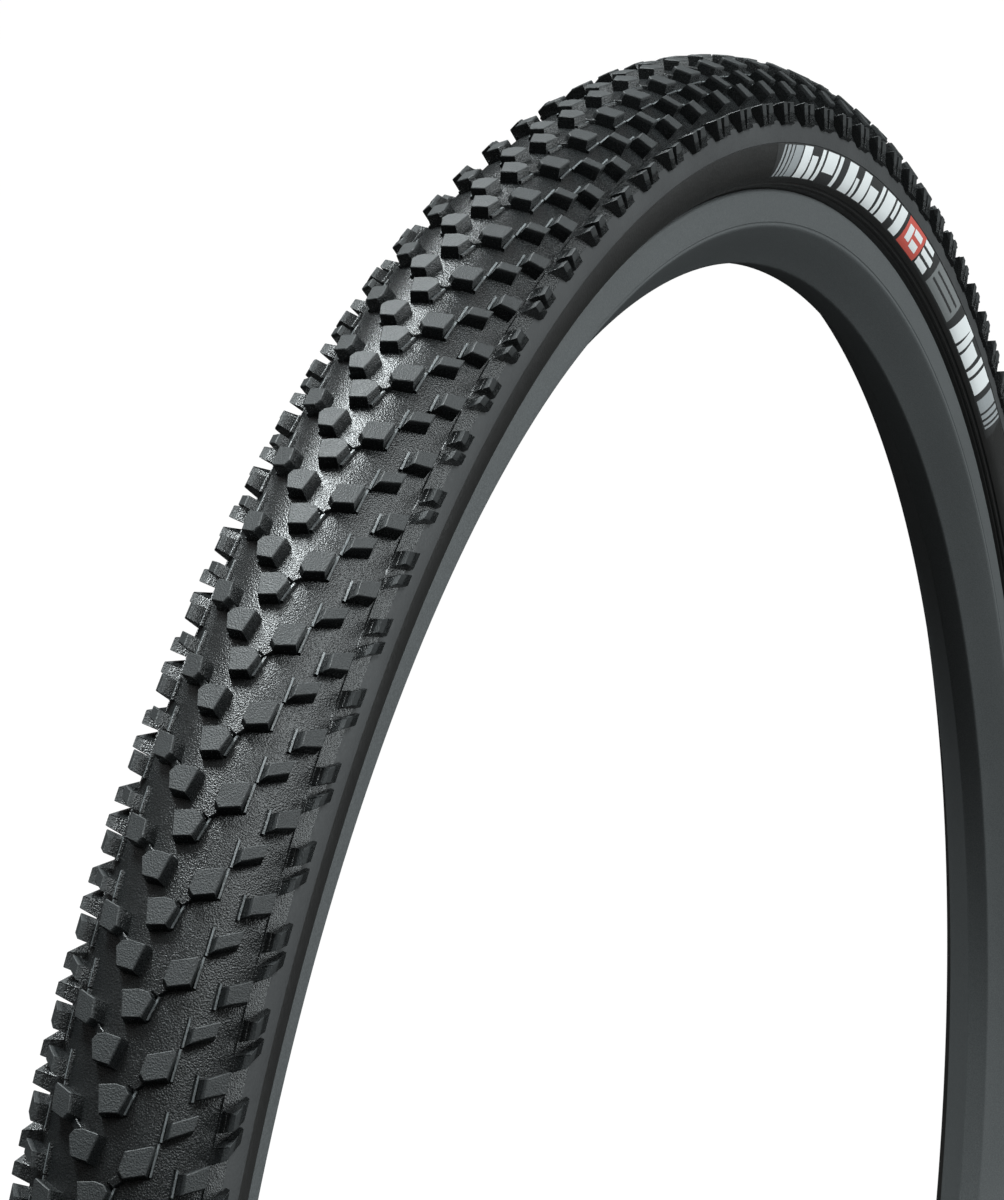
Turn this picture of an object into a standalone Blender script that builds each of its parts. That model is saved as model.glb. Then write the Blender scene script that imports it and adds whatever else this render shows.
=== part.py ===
"""Gravel bicycle tyre, size 40-622, seated and inflated on its rim with a tubeless valve.

The wheel's centre is the origin and its axle line is +Y. Forward is -X and up is +Z, and the valve
stands at the bottom of the wheel with its tip towards the centre. Metres throughout.
"""

import math

import bmesh
import bpy
from mathutils import Vector
from mathutils.geometry import delaunay_2d_cdt

MM = 0.001
FULL_TURN = 2 * math.pi

# Running clearance that every pair of neighbouring pieces keeps.
GAP = 0.3 * MM

# Rim and tyre sizes. The bead seat is the size that the wheel standard fixes.
BEAD_SEAT_RADIUS = 311.0 * MM
RIM_INNER_WIDTH = 23.0 * MM
RIM_FLANGE_THICKNESS = 1.7 * MM
RIM_OUTER_WIDTH = RIM_INNER_WIDTH + 2 * RIM_FLANGE_THICKNESS
RIM_FLANGE_HEIGHT = 6.0 * MM
RIM_DEPTH = 19.5 * MM
RIM_BED_WIDTH = 9.2 * MM
RIM_WALL = 1.5 * MM
RIM_WELL_DEPTH = 2.9 * MM
RIM_TAPE_THICKNESS = 0.3 * MM

# The inflated tyre's section is a circle about a ring of radius SECTION_RING, down to its shoulders.
SECTION_RADIUS = 19.8 * MM
SECTION_RING = BEAD_SEAT_RADIUS + 0.9 * SECTION_RADIUS
TREAD_THICKNESS = 1.3 * MM
SIDEWALL_THICKNESS = 0.9 * MM
BELT_THICKNESS = 0.5 * MM
CASING_THICKNESS = 0.8 * MM
SHOULDER_ANGLE = math.radians(105)
BEAD_CORE_SIDE = 1.8 * MM
CHAFER_THICKNESS = 0.5 * MM

# Tread pattern: how many pitches go round, and where the first one starts.
PITCHES = 127
FIRST_PITCH_TURN = math.radians(40.17)
KNOB_HEIGHT = 2.7 * MM
SIDE_KNOB_HEIGHT = 4.1 * MM
KNOB_DRAFT = 0.35 * MM

# Each outline gives its corners as (millimetres from the centre line, pitches towards the back).
# The right half of the tread is the left half mirrored and moved on by half a pitch.
CENTRE_KNOB = ((3.8, 0.12), (0.3, 0.07), (0.2, 0.41), (3.3, 0.42))
INNER_KNOB = ((9.7, 0.54), (5.9, 0.50), (5.9, 0.76), (9.7, 0.86))
SIDE_KNOB_FOOT = ((19.6, 0.60), (19.6, 1.36), (24.4, 1.42), (24.4, 0.80))
SIDE_KNOB_PEAK = ((21.8, 0.70), (21.8, 1.30))

# The tread's base ends just past the side knobs, and the belt covers half of its angle.
TREAD_EDGE = 24.9 * MM
TREAD_EDGE_ANGLE = TREAD_EDGE / SECTION_RADIUS
BELT_ANGLE = TREAD_EDGE_ANGLE / 2

# Turned rings that lie inside one another share this count, so their flats stay parallel.
RING_STEPS = 48
ROUND_STEPS = 12

# Printed label: a thin patch low on each sidewall.
LABEL_FIRST_STEP = 10
LABEL_STEPS = 7
LABEL_THICKNESS = 0.25 * MM
LABEL_LOW = 0.12
LABEL_HIGH = 0.62

# Tubeless valve, standing on the wheel's lowest point.
STEM_RADIUS = 3.0 * MM
STEM_BORE_RADIUS = 1.3 * MM
CORE_SOCKET_RADIUS = 2.2 * MM
CORE_SOCKET_DEPTH = 14.0 * MM
STEM_LENGTH = 46.0 * MM
STEM_FOOT_RADIUS = 4.4 * MM
STEM_FOOT_HEIGHT = 1.4 * MM
VALVE_HOLE_RADIUS = STEM_RADIUS + GAP
BASE_SEAL_RADIUS = 5.0 * MM
BASE_SEAL_HEIGHT = 2.6 * MM
RING_SEAL_RADIUS = 4.6 * MM
RING_SEAL_HEIGHT = 1.5 * MM
LOCK_RING_RADIUS = 6.0 * MM
LOCK_RING_HEIGHT = 4.0 * MM
CORE_BODY_RADIUS = CORE_SOCKET_RADIUS - GAP
CORE_BORE_RADIUS = 0.9 * MM
CORE_STANDOUT = 1.6 * MM
CORE_LIP_RADIUS = 2.7 * MM
PIN_RADIUS = 0.6 * MM
PIN_FOOT_RADIUS = 0.95 * MM
PIN_FOOT_HEIGHT = 1.0 * MM
PIN_STANDOUT = 5.6 * MM
PIN_NUT_RADIUS = 1.9 * MM
PIN_NUT_HEIGHT = 2.6 * MM
PIN_TRAVEL = 1.2 * MM
CAP_WALL = 0.8 * MM
CAP_GRIP_LENGTH = 10.0 * MM


def clear_scene():
    for thing in list(bpy.data.objects):
        bpy.data.objects.remove(thing, do_unlink=True)


def finish(name, colour, roughness, metallic=0.0):
    """A painted, moulded or metal surface of one colour."""
    surface = bpy.data.materials.new(name)
    surface.use_nodes = True
    shader = surface.node_tree.nodes["Principled BSDF"]
    shader.inputs["Base Color"].default_value = (*colour, 1.0)
    shader.inputs["Roughness"].default_value = roughness
    shader.inputs["Metallic"].default_value = metallic
    return surface


def place(name, mesh, surface, origin=(0.0, 0.0, 0.0)):
    """Puts the mesh in the scene as its own object with its origin where the piece turns or slides."""
    bmesh.ops.recalc_face_normals(mesh, faces=mesh.faces)
    bmesh.ops.translate(mesh, verts=mesh.verts, vec=-Vector(origin))
    data = bpy.data.meshes.new(name)
    mesh.to_mesh(data)
    mesh.free()
    data.shade_smooth()
    data.set_sharp_from_angle(angle=math.radians(35))
    data.materials.append(surface)
    piece = bpy.data.objects.new(name, data)
    piece.location = origin
    bpy.context.scene.collection.objects.link(piece)
    return piece


def wheel_point(radius, across, turn):
    """A point of the wheel: turn runs from the front (-X) over the top (+Z)."""
    return Vector((-radius * math.cos(turn), across, radius * math.sin(turn)))


def section_point(angle, depth):
    """(across, radius) of a point in the tyre's section, at an angle from the crown and a depth inside it."""
    distance = SECTION_RADIUS - depth
    return distance * math.sin(angle), SECTION_RING + distance * math.cos(angle)


def wheel_ring(outline):
    """A closed ring: the outline of (across, radius) points carried once round the wheel's axle."""
    mesh = bmesh.new()
    rim_points = [mesh.verts.new(wheel_point(radius, across, 0.0)) for across, radius in outline]
    edges = [mesh.edges.new((a, b)) for a, b in zip(rim_points, rim_points[1:] + rim_points[:1])]
    bmesh.ops.spin(
        mesh,
        geom=edges,
        cent=(0, 0, 0),
        axis=(0, 1, 0),
        angle=FULL_TURN,
        steps=RING_STEPS,
        use_merge=True,
    )
    bmesh.ops.remove_doubles(mesh, verts=mesh.verts, dist=0.001 * MM)
    return mesh


def band(angles, depth, thickness):
    """Outline of a layer of the tyre that follows the section between the first and last angle."""
    outer = [section_point(angle, depth) for angle in angles]
    inner = [section_point(angle, depth + thickness) for angle in angles]
    return outer + inner[::-1]


def mirrored(outline):
    return [(-across, radius) for across, radius in outline]


def valve_round(outline, foot_radius, steps=ROUND_STEPS):
    """A turned piece on the valve's line. Its outline is (radius, height above foot_radius) points.

    Height runs from the tyre towards the wheel's centre. An outline whose ends lie on the line closes
    there, and any other outline is a closed loop round a bore.
    """
    mesh = bmesh.new()
    points = [
        mesh.verts.new((radius, 0.0, height - foot_radius)) for radius, height in outline
    ]
    edges = [mesh.edges.new(pair) for pair in zip(points, points[1:])]
    if outline[0][0] > 0:
        edges.append(mesh.edges.new((points[-1], points[0])))
    bmesh.ops.spin(
        mesh,
        geom=edges,
        cent=(0, 0, 0),
        axis=(0, 0, 1),
        angle=FULL_TURN,
        steps=steps,
        use_merge=True,
    )
    bmesh.ops.remove_doubles(mesh, verts=mesh.verts, dist=0.001 * MM)
    bmesh.ops.dissolve_degenerate(mesh, edges=mesh.edges, dist=0.001 * MM)
    return mesh


# --- Tread -------------------------------------------------------------------------------------


def tread_point(pitch, across_mm, height):
    """A point over the tread's base, from its place in the pattern and its height above the base."""
    angle = across_mm * MM / SECTION_RADIUS
    distance = SECTION_RADIUS + height
    turn = FIRST_PITCH_TURN + FULL_TURN * pitch / PITCHES
    return wheel_point(
        SECTION_RING + distance * math.cos(angle), distance * math.sin(angle), turn
    )


def both_sides(outline):
    """The outline on the left half of the tread, then its partner on the right half."""
    left = [(-across, pitch) for across, pitch in outline]
    right = [(across, pitch + 0.5) for across, pitch in outline]
    return left, right


def knob_foot(top):
    """The foot of a moulded knob: its top outline grown by the draft on its walls."""
    pitch_mm = FULL_TURN * (SECTION_RING + SECTION_RADIUS) / PITCHES / MM
    middle = Vector((sum(a for a, _ in top), sum(p for _, p in top) * pitch_mm)) / len(top)
    foot = []
    for across, pitch in top:
        corner = Vector((across, pitch * pitch_mm))
        corner += (corner - middle).normalized() * (KNOB_DRAFT / MM) * math.sqrt(2)
        foot.append((corner.x, corner.y / pitch_mm))
    return foot


def pattern_knobs():
    """Every knob of one pitch as (foot corners, top corners with heights)."""
    knobs = []
    for outline in (CENTRE_KNOB, INNER_KNOB):
        for top in both_sides(outline):
            knobs.append((knob_foot(top), [(*corner, KNOB_HEIGHT) for corner in top]))
    feet = [list(foot) for foot in both_sides(SIDE_KNOB_FOOT)]
    peaks = both_sides(SIDE_KNOB_PEAK)
    for foot, peak in zip(feet, peaks):
        knobs.append((foot, [(*corner, SIDE_KNOB_HEIGHT) for corner in peak]))
    return knobs


def anticlockwise(outline):
    """Which way the outline's corners run, which tells the triangulation where its inside is."""
    pairs = zip(outline, outline[1:] + outline[:1])
    return sum(a[0] * b[1] - b[0] * a[1] for a, b in pairs) > 0


def base_between(feet):
    """Triangles of the tread's base between the feet, for one pitch, as (corner, pitch) triples."""
    corners = [corner for foot in feet for corner in foot]
    pitch_mm = FULL_TURN * (SECTION_RING + SECTION_RADIUS) / PITCHES / MM
    points, outlines = [], []
    repeats = range(-3, 4)
    for repeat in repeats:
        start = len(points)
        points += [Vector((across, (pitch + repeat) * pitch_mm)) for across, pitch in corners]
        for foot in feet:
            ids = list(range(start, start + len(foot)))
            outlines.append(ids if anticlockwise(foot) else ids[::-1])
            start += len(foot)
    made, _, faces, sources, _, covered = delaunay_2d_cdt(points, [], outlines, 0, 1e-5)
    triangles = []
    for face, knob in zip(faces, covered):
        middle = sum(made[i].y for i in face) / len(face) / pitch_mm
        if knob or not 0 <= middle < 1:
            continue
        ids = [sources[i][0] for i in face]
        triangles.append([(i % len(corners), i // len(corners) + repeats[0]) for i in ids])
    return triangles


def zip_rings(mesh, fine, coarse):
    """Fills the strip between two rings of (turn, vertex) that hold different numbers of vertices."""
    fine = sorted(fine, key=lambda item: item[0])
    coarse = sorted(coarse, key=lambda item: item[0])
    i = j = 0
    while i < len(fine) or j < len(coarse):
        here, there = fine[i % len(fine)][1], coarse[j % len(coarse)][1]
        next_fine = fine[i][0] if i < len(fine) else math.inf
        next_coarse = coarse[j][0] if j < len(coarse) else math.inf
        if next_fine <= next_coarse:
            mesh.faces.new((here, fine[(i + 1) % len(fine)][1], there))
            i += 1
        else:
            mesh.faces.new((here, coarse[(j + 1) % len(coarse)][1], there))
            j += 1


def turn_of(vertex):
    return math.atan2(vertex.co.z, -vertex.co.x) % FULL_TURN


def tread_inside(mesh):
    """The smooth inner face of the tread and its two square edges. Returns the edges' outer rings."""
    angles = [-TREAD_EDGE_ANGLE, -BELT_ANGLE, 0.0, BELT_ANGLE, TREAD_EDGE_ANGLE]
    path = [section_point(angle, TREAD_THICKNESS) for angle in angles]
    path.insert(0, section_point(-TREAD_EDGE_ANGLE, 0.0))
    path.append(section_point(TREAD_EDGE_ANGLE, 0.0))
    rings = []
    for across, radius in path:
        turns = [FULL_TURN * step / RING_STEPS for step in range(RING_STEPS)]
        rings.append([mesh.verts.new(wheel_point(radius, across, turn)) for turn in turns])
    for lower, upper in zip(rings, rings[1:]):
        for step in range(RING_STEPS):
            after = (step + 1) % RING_STEPS
            mesh.faces.new((lower[step], lower[after], upper[after], upper[step]))
    return rings[0], rings[-1]


def make_tread(rubber):
    """Knobbly tread rubber, moulded in one piece round the tyre."""
    mesh = bmesh.new()
    knobs = pattern_knobs()
    feet = [foot for foot, _ in knobs]
    triangles = base_between(feet)
    corners = [corner for foot in feet for corner in foot]
    base = {}
    for pitch in range(PITCHES):
        for number, (across, along) in enumerate(corners):
            base[number, pitch] = mesh.verts.new(tread_point(pitch + along, across, 0.0))
    for pitch in range(PITCHES):
        for triangle in triangles:
            mesh.faces.new([base[number, (pitch + shift) % PITCHES] for number, shift in triangle])
        first = 0
        for foot, top in knobs:
            below = [base[first + i, pitch] for i in range(len(foot))]
            first += len(foot)
            above = [mesh.verts.new(tread_point(pitch + p, a, h)) for a, p, h in top]
            if len(above) == len(below):
                for i in range(len(below)):
                    j = (i + 1) % len(below)
                    mesh.faces.new((below[i], below[j], above[j], above[i]))
                mesh.faces.new(above)
            else:
                # A side knob rises to a ridge and slopes away to the edge of the tread.
                mesh.faces.new((below[0], below[1], above[1], above[0]))
                mesh.faces.new((below[1], below[2], above[1]))
                mesh.faces.new((below[2], below[3], above[0], above[1]))
                mesh.faces.new((below[3], below[0], above[0]))
    for edge_across, ring in zip((-1, 1), tread_inside(mesh)):
        outermost = max(across for across, _ in SIDE_KNOB_FOOT)
        fine = [
            (turn_of(vertex), vertex)
            for (number, _), vertex in base.items()
            if corners[number][0] == edge_across * outermost
        ]
        zip_rings(mesh, fine, [(turn_of(vertex), vertex) for vertex in ring])
    return place("tread", mesh, rubber)


# --- The rest of the tyre ----------------------------------------------------------------------


def gap_angle():
    """The clearance between two neighbouring pieces of the tyre's skin, as an angle of its section."""
    return GAP / SECTION_RADIUS


def flange_top():
    return BEAD_SEAT_RADIUS + RIM_FLANGE_HEIGHT


def sidewall_foot():
    """(across, radius) of the sidewall's lower edge, just over the rim's flange."""
    return RIM_OUTER_WIDTH / 2 - 0.3 * MM, flange_top() + 0.5 * MM


def make_sidewalls(rubber):
    """Thin rubber skin from the edge of the tread down to the rim."""
    across, radius = sidewall_foot()
    outline = band((TREAD_EDGE_ANGLE + gap_angle(), SHOULDER_ANGLE), 0.0, SIDEWALL_THICKNESS)
    outline[2:2] = [(across, radius), (across - 0.5 * MM, radius + 0.1 * MM)]
    place("sidewall_left", wheel_ring(mirrored(outline)), rubber)
    place("sidewall_right", wheel_ring(outline), rubber)


def belt_depth():
    return TREAD_THICKNESS + GAP


def casing_depth():
    return belt_depth() + BELT_THICKNESS + GAP


def make_puncture_belt(cloth):
    """Woven strip under the middle of the tread that stops thorns."""
    outline = band((-BELT_ANGLE, 0.0, BELT_ANGLE), belt_depth(), BELT_THICKNESS)
    place("puncture_belt", wheel_ring(outline), cloth)


def make_casing(cloth):
    """Rubbered nylon plies from bead to bead, which hold the air's pressure."""
    side = [BELT_ANGLE, TREAD_EDGE_ANGLE, SHOULDER_ANGLE]
    angles = [-angle for angle in side[::-1]] + [0.0] + side
    outline = band(angles, casing_depth(), CASING_THICKNESS)
    across = RIM_INNER_WIDTH / 2 - 2 * GAP
    radius = flange_top() - 0.8 * MM
    foot = [(across, radius), (across - CASING_THICKNESS, radius)]
    outline[len(angles) : len(angles)] = foot
    outline += mirrored(foot[::-1])
    place("casing_ply", wheel_ring(outline), cloth)


def bead_outer_across():
    return RIM_INNER_WIDTH / 2 - GAP


def make_beads(cord, cloth):
    """Stiff hoops that hold the tyre's edges on the rim, each in a strip that takes the rim's rubbing."""
    outer = bead_outer_across()
    inner = outer - CHAFER_THICKNESS
    foot = BEAD_SEAT_RADIUS + RIM_TAPE_THICKNESS + GAP
    top = flange_top() - RIM_WALL
    toe = outer - 3.4 * MM
    strip = [
        (outer, foot),
        (outer, top),
        (inner, top),
        (inner, foot + CHAFER_THICKNESS),
        (toe, foot + CHAFER_THICKNESS),
        (toe, foot),
    ]
    low = foot + CHAFER_THICKNESS + GAP
    out = inner - GAP
    core = [
        (out, low),
        (out, low + BEAD_CORE_SIDE),
        (out - BEAD_CORE_SIDE, low + BEAD_CORE_SIDE),
        (out - BEAD_CORE_SIDE, low),
    ]
    for side, turned in (("left", mirrored), ("right", list)):
        place(f"chafer_{side}", wheel_ring(turned(strip)), cloth)
        place(f"bead_core_{side}", wheel_ring(turned(core)), cord)


def sidewall_chord(share, height):
    """(across, radius) of a point over the sidewall's lower flat, a share of the way down it."""
    upper = Vector(section_point(SHOULDER_ANGLE, 0.0))
    run = Vector(sidewall_foot()) - upper
    outward = Vector((-run.y, run.x)).normalized()
    point = upper + run * share + outward * height
    return point.x, point.y


def label_patch(side):
    """Part of a thin ring that lies on the sidewall's flats, over LABEL_STEPS of its steps."""
    outline = [
        sidewall_chord(LABEL_LOW, GAP),
        sidewall_chord(LABEL_HIGH, GAP),
        sidewall_chord(LABEL_HIGH, GAP + LABEL_THICKNESS),
        sidewall_chord(LABEL_LOW, GAP + LABEL_THICKNESS),
    ]
    mesh = bmesh.new()
    slices = []
    for step in range(LABEL_STEPS + 1):
        turn = FULL_TURN * (LABEL_FIRST_STEP + step) / RING_STEPS
        slices.append([mesh.verts.new(wheel_point(r, side * a, turn)) for a, r in outline])
    for here, there in zip(slices, slices[1:]):
        for i in range(4):
            j = (i + 1) % 4
            mesh.faces.new((here[i], here[j], there[j], there[i]))
    mesh.faces.new(slices[0])
    mesh.faces.new(slices[-1])
    return mesh


def make_labels(ink):
    place("label_left", label_patch(-1), ink)
    place("label_right", label_patch(1), ink)


# --- Rim ---------------------------------------------------------------------------------------


def rim_half_outline():
    """(across, radius) points of half the rim's section, from the well out over the flange to the bed."""
    seat = BEAD_SEAT_RADIUS
    top = flange_top()
    half_in = RIM_INNER_WIDTH / 2
    half_out = RIM_OUTER_WIDTH / 2
    bed = rim_bed_radius()
    return [
        (half_in - 6.2 * MM, seat - RIM_WELL_DEPTH),
        (half_in - 4.6 * MM, seat - GAP),
        (half_in, seat - GAP),
        (half_in, top - RIM_WALL / 2),
        (half_in + RIM_WALL / 3, top),
        (half_out - RIM_WALL / 3, top),
        (half_out, top - RIM_WALL),
        (half_out, bed + 10.6 * MM),
        (half_out - 0.9 * MM, bed + 5.8 * MM),
        (half_out - 4.0 * MM, bed + 1.8 * MM),
        (RIM_BED_WIDTH / 2, bed),
    ]


def rim_bed_radius():
    return flange_top() - RIM_DEPTH


def rim_chamber_outline():
    """The hollow between the rim's well and its bed."""
    bed = rim_bed_radius() + RIM_WALL
    well = BEAD_SEAT_RADIUS - RIM_WELL_DEPTH - RIM_WALL
    wide = RIM_OUTER_WIDTH / 2 - RIM_WALL
    half = [
        (wide - 5.2 * MM, well),
        (wide - 3.0 * MM, well + 1.2 * MM),
        (wide - 0.6 * MM, well),
        (wide - 1.1 * MM, bed + 3.6 * MM),
        (RIM_BED_WIDTH / 2, bed),
    ]
    return half + mirrored(half[::-1])


def valve_cutter():
    """A round cutter along the valve's line, from inside the tyre past the rim's bed."""
    mesh = bmesh.new()
    bmesh.ops.create_cone(
        mesh,
        cap_ends=True,
        segments=ROUND_STEPS,
        radius1=VALVE_HOLE_RADIUS,
        radius2=VALVE_HOLE_RADIUS,
        depth=4 * RIM_DEPTH,
    )
    bmesh.ops.translate(mesh, verts=mesh.verts, vec=(0.0, 0.0, -BEAD_SEAT_RADIUS))
    data = bpy.data.meshes.new("valve_hole_cutter")
    mesh.to_mesh(data)
    mesh.free()
    cutter = bpy.data.objects.new("valve_hole_cutter", data)
    bpy.context.scene.collection.objects.link(cutter)
    cutter.hide_render = True
    cutter.display_type = "WIRE"
    return cutter


def drill(piece, cutter):
    hole = piece.modifiers.new("valve_hole", "BOOLEAN")
    hole.operation = "DIFFERENCE"
    hole.solver = "EXACT"
    hole.object = cutter


def make_rim(metal, cutter):
    """Hollow rim, with the valve hole through both of its walls."""
    half = rim_half_outline()
    mesh = wheel_ring(half + mirrored(half[::-1]))
    bmesh.ops.recalc_face_normals(mesh, faces=mesh.faces)
    chamber = wheel_ring(rim_chamber_outline())
    bmesh.ops.recalc_face_normals(chamber, faces=chamber.faces)
    bmesh.ops.reverse_faces(chamber, faces=chamber.faces)
    hollow = bpy.data.meshes.new("rim_chamber")
    chamber.to_mesh(hollow)
    chamber.free()
    data = bpy.data.meshes.new("rim")
    mesh.from_mesh(hollow)
    mesh.to_mesh(data)
    mesh.free()
    data.shade_smooth()
    data.set_sharp_from_angle(angle=math.radians(35))
    data.materials.append(metal)
    rim = bpy.data.objects.new("rim", data)
    bpy.context.scene.collection.objects.link(rim)
    drill(rim, cutter)


def make_rim_tape(film, cutter):
    """Airtight tape over the rim's well, under the beads."""
    half = bead_outer_across() - GAP
    low = BEAD_SEAT_RADIUS
    outline = [
        (half, low),
        (half, low + RIM_TAPE_THICKNESS),
        (-half, low + RIM_TAPE_THICKNESS),
        (-half, low),
    ]
    drill(place("rim_tape", wheel_ring(outline), film), cutter)


# --- Valve -------------------------------------------------------------------------------------


def valve_foot():
    """Radius from the wheel's centre at which the valve's rubber base sits on the tape."""
    return BEAD_SEAT_RADIUS + RIM_TAPE_THICKNESS + GAP


def stem_foot():
    """Radius at which the stem starts, inside the tyre."""
    return valve_foot() + BASE_SEAL_HEIGHT + GAP + STEM_FOOT_HEIGHT


def stem_tip():
    return stem_foot() - STEM_LENGTH


def make_stem(brass):
    """Threaded tube with a flange inside the tyre and a socket for the core at its tip."""
    shoulder = STEM_FOOT_HEIGHT
    outline = [
        (STEM_BORE_RADIUS, 0.0),
        (STEM_FOOT_RADIUS, 0.0),
        (STEM_FOOT_RADIUS, shoulder),
        (STEM_RADIUS, shoulder),
        (STEM_RADIUS, STEM_LENGTH),
        (CORE_SOCKET_RADIUS, STEM_LENGTH),
        (CORE_SOCKET_RADIUS, STEM_LENGTH - CORE_SOCKET_DEPTH),
        (STEM_BORE_RADIUS, STEM_LENGTH - CORE_SOCKET_DEPTH),
    ]
    place("valve_stem", valve_round(outline, stem_foot()), brass)


def make_base_seal(rubber):
    """Tapered rubber seal between the stem's flange and the rim tape."""
    bore = STEM_RADIUS + GAP
    outline = [
        (bore, 0.0),
        (BASE_SEAL_RADIUS - 0.8 * MM, 0.0),
        (BASE_SEAL_RADIUS, BASE_SEAL_HEIGHT - 0.8 * MM),
        (BASE_SEAL_RADIUS - 0.8 * MM, BASE_SEAL_HEIGHT),
        (bore, BASE_SEAL_HEIGHT),
    ]
    place("valve_base_seal", valve_round(outline, valve_foot() + BASE_SEAL_HEIGHT), rubber)


def ring_seal_foot():
    """Radius at which the rubber ring starts: clear of the rim's bed, which curves away on either side."""
    return rim_bed_radius() - GAP - RING_SEAL_RADIUS * math.tan(math.pi / RING_STEPS)


def lock_ring_foot():
    """Radius at which the lock ring starts, next to its rubber ring."""
    return ring_seal_foot() - RING_SEAL_HEIGHT - GAP


def make_lock_ring(metal, rubber):
    """Knurled ring that pulls the valve tight against the rim, and the rubber ring under it."""
    bore = STEM_RADIUS + GAP
    seal_foot = ring_seal_foot()
    middle = RING_SEAL_HEIGHT / 2
    seal = [
        (bore, 0.3 * MM),
        (bore + 0.3 * MM, 0.0),
        (RING_SEAL_RADIUS - 0.3 * MM, 0.0),
        (RING_SEAL_RADIUS, middle),
        (RING_SEAL_RADIUS - 0.3 * MM, RING_SEAL_HEIGHT),
        (bore + 0.3 * MM, RING_SEAL_HEIGHT),
        (bore, RING_SEAL_HEIGHT - 0.3 * MM),
    ]
    place("lock_ring_seal", valve_round(seal, seal_foot), rubber, (0, 0, -seal_foot))
    ring = [
        (bore, 0.0),
        (LOCK_RING_RADIUS, 0.0),
        (LOCK_RING_RADIUS, LOCK_RING_HEIGHT - 1.0 * MM),
        (LOCK_RING_RADIUS - 1.2 * MM, LOCK_RING_HEIGHT),
        (bore, LOCK_RING_HEIGHT),
    ]
    foot = lock_ring_foot()
    place("valve_lock_ring", valve_round(ring, foot), metal, (0, 0, -foot))


def make_core(brass):
    """Removable core: a sleeve that screws into the stem, with a lip that stands out of it."""
    length = CORE_SOCKET_DEPTH - PIN_FOOT_HEIGHT - 2 * PIN_TRAVEL
    outline = [
        (CORE_BORE_RADIUS, 0.0),
        (CORE_BODY_RADIUS, 0.0),
        (CORE_BODY_RADIUS, length + GAP),
        (CORE_LIP_RADIUS, length + GAP),
        (CORE_LIP_RADIUS, length + CORE_STANDOUT),
        (CORE_BORE_RADIUS, length + CORE_STANDOUT),
    ]
    place("valve_core", valve_round(outline, stem_tip() + length), brass)


def core_top():
    return stem_tip() - CORE_STANDOUT


def make_pin(brass, rubber):
    """Thin pin through the core, whose sealed foot shuts it, and the knurled nut that locks it up."""
    core_length = CORE_SOCKET_DEPTH - PIN_FOOT_HEIGHT - 2 * PIN_TRAVEL
    seal_foot = stem_tip() + core_length + GAP + PIN_FOOT_HEIGHT
    pin_length = seal_foot - core_top() + PIN_STANDOUT
    pin = [(0.0, 0.0), (PIN_RADIUS, 0.0), (PIN_RADIUS, pin_length), (0.0, pin_length)]
    place("valve_pin", valve_round(pin, seal_foot), brass, (0, 0, -seal_foot))
    bore = PIN_RADIUS + GAP
    seal = [
        (bore, 0.0),
        (CORE_BODY_RADIUS, 0.0),
        (CORE_BODY_RADIUS, PIN_FOOT_HEIGHT / 2),
        (PIN_FOOT_RADIUS + GAP, PIN_FOOT_HEIGHT),
        (bore, PIN_FOOT_HEIGHT),
    ]
    place("valve_core_seal", valve_round(seal, seal_foot), rubber, (0, 0, -seal_foot))
    nut_foot = core_top() - GAP - PIN_TRAVEL
    nut = [
        (bore, 0.0),
        (PIN_NUT_RADIUS, 0.0),
        (PIN_NUT_RADIUS, PIN_NUT_HEIGHT - 0.5 * MM),
        (PIN_NUT_RADIUS - 0.5 * MM, PIN_NUT_HEIGHT),
        (bore, PIN_NUT_HEIGHT),
    ]
    place("valve_pin_nut", valve_round(nut, nut_foot), brass, (0, 0, -nut_foot))


def cap_foot():
    """Radius at which the cap's open end sits, over the stem's thread."""
    return stem_tip() + CAP_GRIP_LENGTH


def make_cap(plastic):
    """Slim dust cap over the valve's tip, closed towards the wheel's centre."""
    inside = CAP_GRIP_LENGTH + CORE_STANDOUT + PIN_STANDOUT + GAP
    bore = STEM_RADIUS + GAP
    outside = bore + CAP_WALL
    outline = [
        (0.0, inside),
        (bore - 0.2 * MM, inside),
        (bore, inside - 1.0 * MM),
        (bore, 0.0),
        (outside, 0.0),
        (outside, inside - 2.0 * MM),
        (outside - 1.6 * MM, inside + CAP_WALL),
        (0.0, inside + CAP_WALL),
    ]
    place("valve_cap", valve_round(outline, cap_foot()), plastic, (0, 0, -cap_foot()))


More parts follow.
